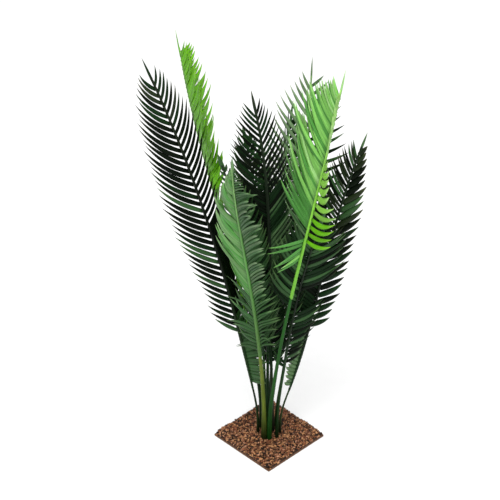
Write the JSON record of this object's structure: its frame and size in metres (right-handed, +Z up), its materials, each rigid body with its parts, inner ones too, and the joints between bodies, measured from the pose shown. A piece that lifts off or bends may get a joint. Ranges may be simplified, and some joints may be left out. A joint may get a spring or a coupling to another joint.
{
  "type": "artificial parlour palm",
  "caption": "Artificial parlour palm: wired feather fronds rising from a socket on a square foot covered with gravel.",
  "frame": {"origin": "centre of the flat underside of the square foot plate", "axes": "+Z up along the plant; X and Y along the sides of the square foot; the picture was taken from between +X and -Y"},
  "size_m": [0.3091, 0.2069, 0.5209],
  "materials": {
    "frond_dark": "satin",
    "frond_medium": "satin",
    "frond_lime": "satin",
    "stem_plastic": "satin",
    "foot_plastic": "matte",
    "gravel": "matte"
  },
  "bodies": {
    "root": {"base_plate": "foot_plastic", "stem_socket": "foot_plastic", "gravel_bed": "gravel", "stem_01": "stem_plastic", "stem_02": "stem_plastic", "stem_03": "stem_plastic", "stem_04": "stem_plastic", "stem_05": "stem_plastic", "stem_06": "stem_plastic", "stem_07": "stem_plastic", "stem_08": "stem_plastic", "stem_09": "stem_plastic", "stem_10": "stem_plastic", "stem_11": "stem_plastic", "stem_12": "stem_plastic", "frond_01": "frond_dark", "frond_02": "frond_lime", "frond_03": "frond_medium", "frond_04": "frond_dark", "frond_05": "frond_dark", "frond_06": "frond_lime", "frond_07": "frond_medium", "frond_08": "frond_dark", "frond_09": "frond_medium", "frond_10": "frond_dark", "frond_11": "frond_dark", "frond_12": "frond_dark"}
  },
  "joints": []
}
